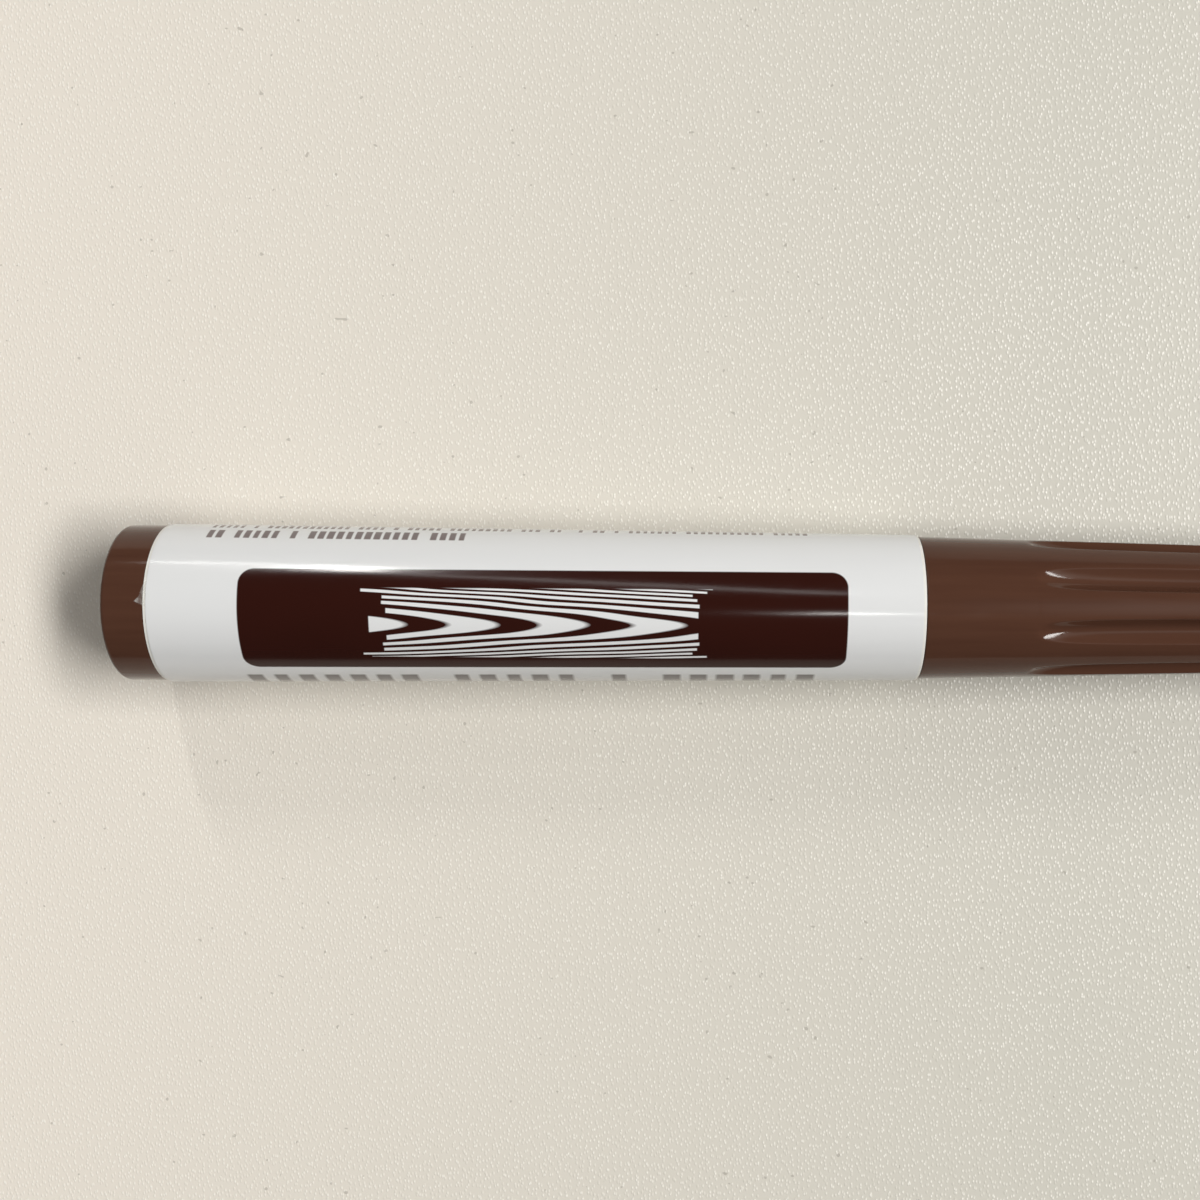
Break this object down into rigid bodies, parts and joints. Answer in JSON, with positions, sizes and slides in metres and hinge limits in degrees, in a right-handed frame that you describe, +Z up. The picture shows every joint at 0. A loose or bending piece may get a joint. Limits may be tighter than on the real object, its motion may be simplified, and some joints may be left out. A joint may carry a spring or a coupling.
{
  "type": "furniture touch-up marker",
  "caption": "Round felt-tip stain marker for touching up furniture: tapered white barrel, wrapped label with a dark panel, brown tail plug and a fluted push-on cap.",
  "frame": {"origin": "centre of the tail plug's flat end face, on the marker's axis", "axes": "+X along the marker's axis from the tail toward the cap, +Z up as the marker lies, +Y to its side"},
  "size_m": [0.1235, 0.016, 0.0159],
  "materials": {
    "white_plastic": "smooth moulded white polypropylene",
    "label_film": "glossy white printed film with a dark brown panel",
    "brown_plastic": "satin brown moulded polypropylene",
    "stained_fibre": "bonded fibre soaked with brown stain",
    "clear_film": "thin clear film",
    "natural_plastic": "uncoloured polyethylene",
    "nib_felt": "pressed felt soaked with brown stain"
  },
  "bodies": {
    "marker": {"barrel": "white_plastic", "label": "label_film", "tail_plug": "brown_plastic", "ink_reservoir": "stained_fibre", "reservoir_wrap": "clear_film", "breather_tube": "natural_plastic", "nose": "natural_plastic", "nib": "nib_felt"},
    "cap": {"cap_shell": "brown_plastic", "cap_inner_cup": "natural_plastic"}
  },
  "joints": [
    {"name": "cap_pull", "type": "slide", "parent": "marker", "child": "cap", "axis": [1, 0, 0], "range_m": [0, 0.06]}
  ]
}
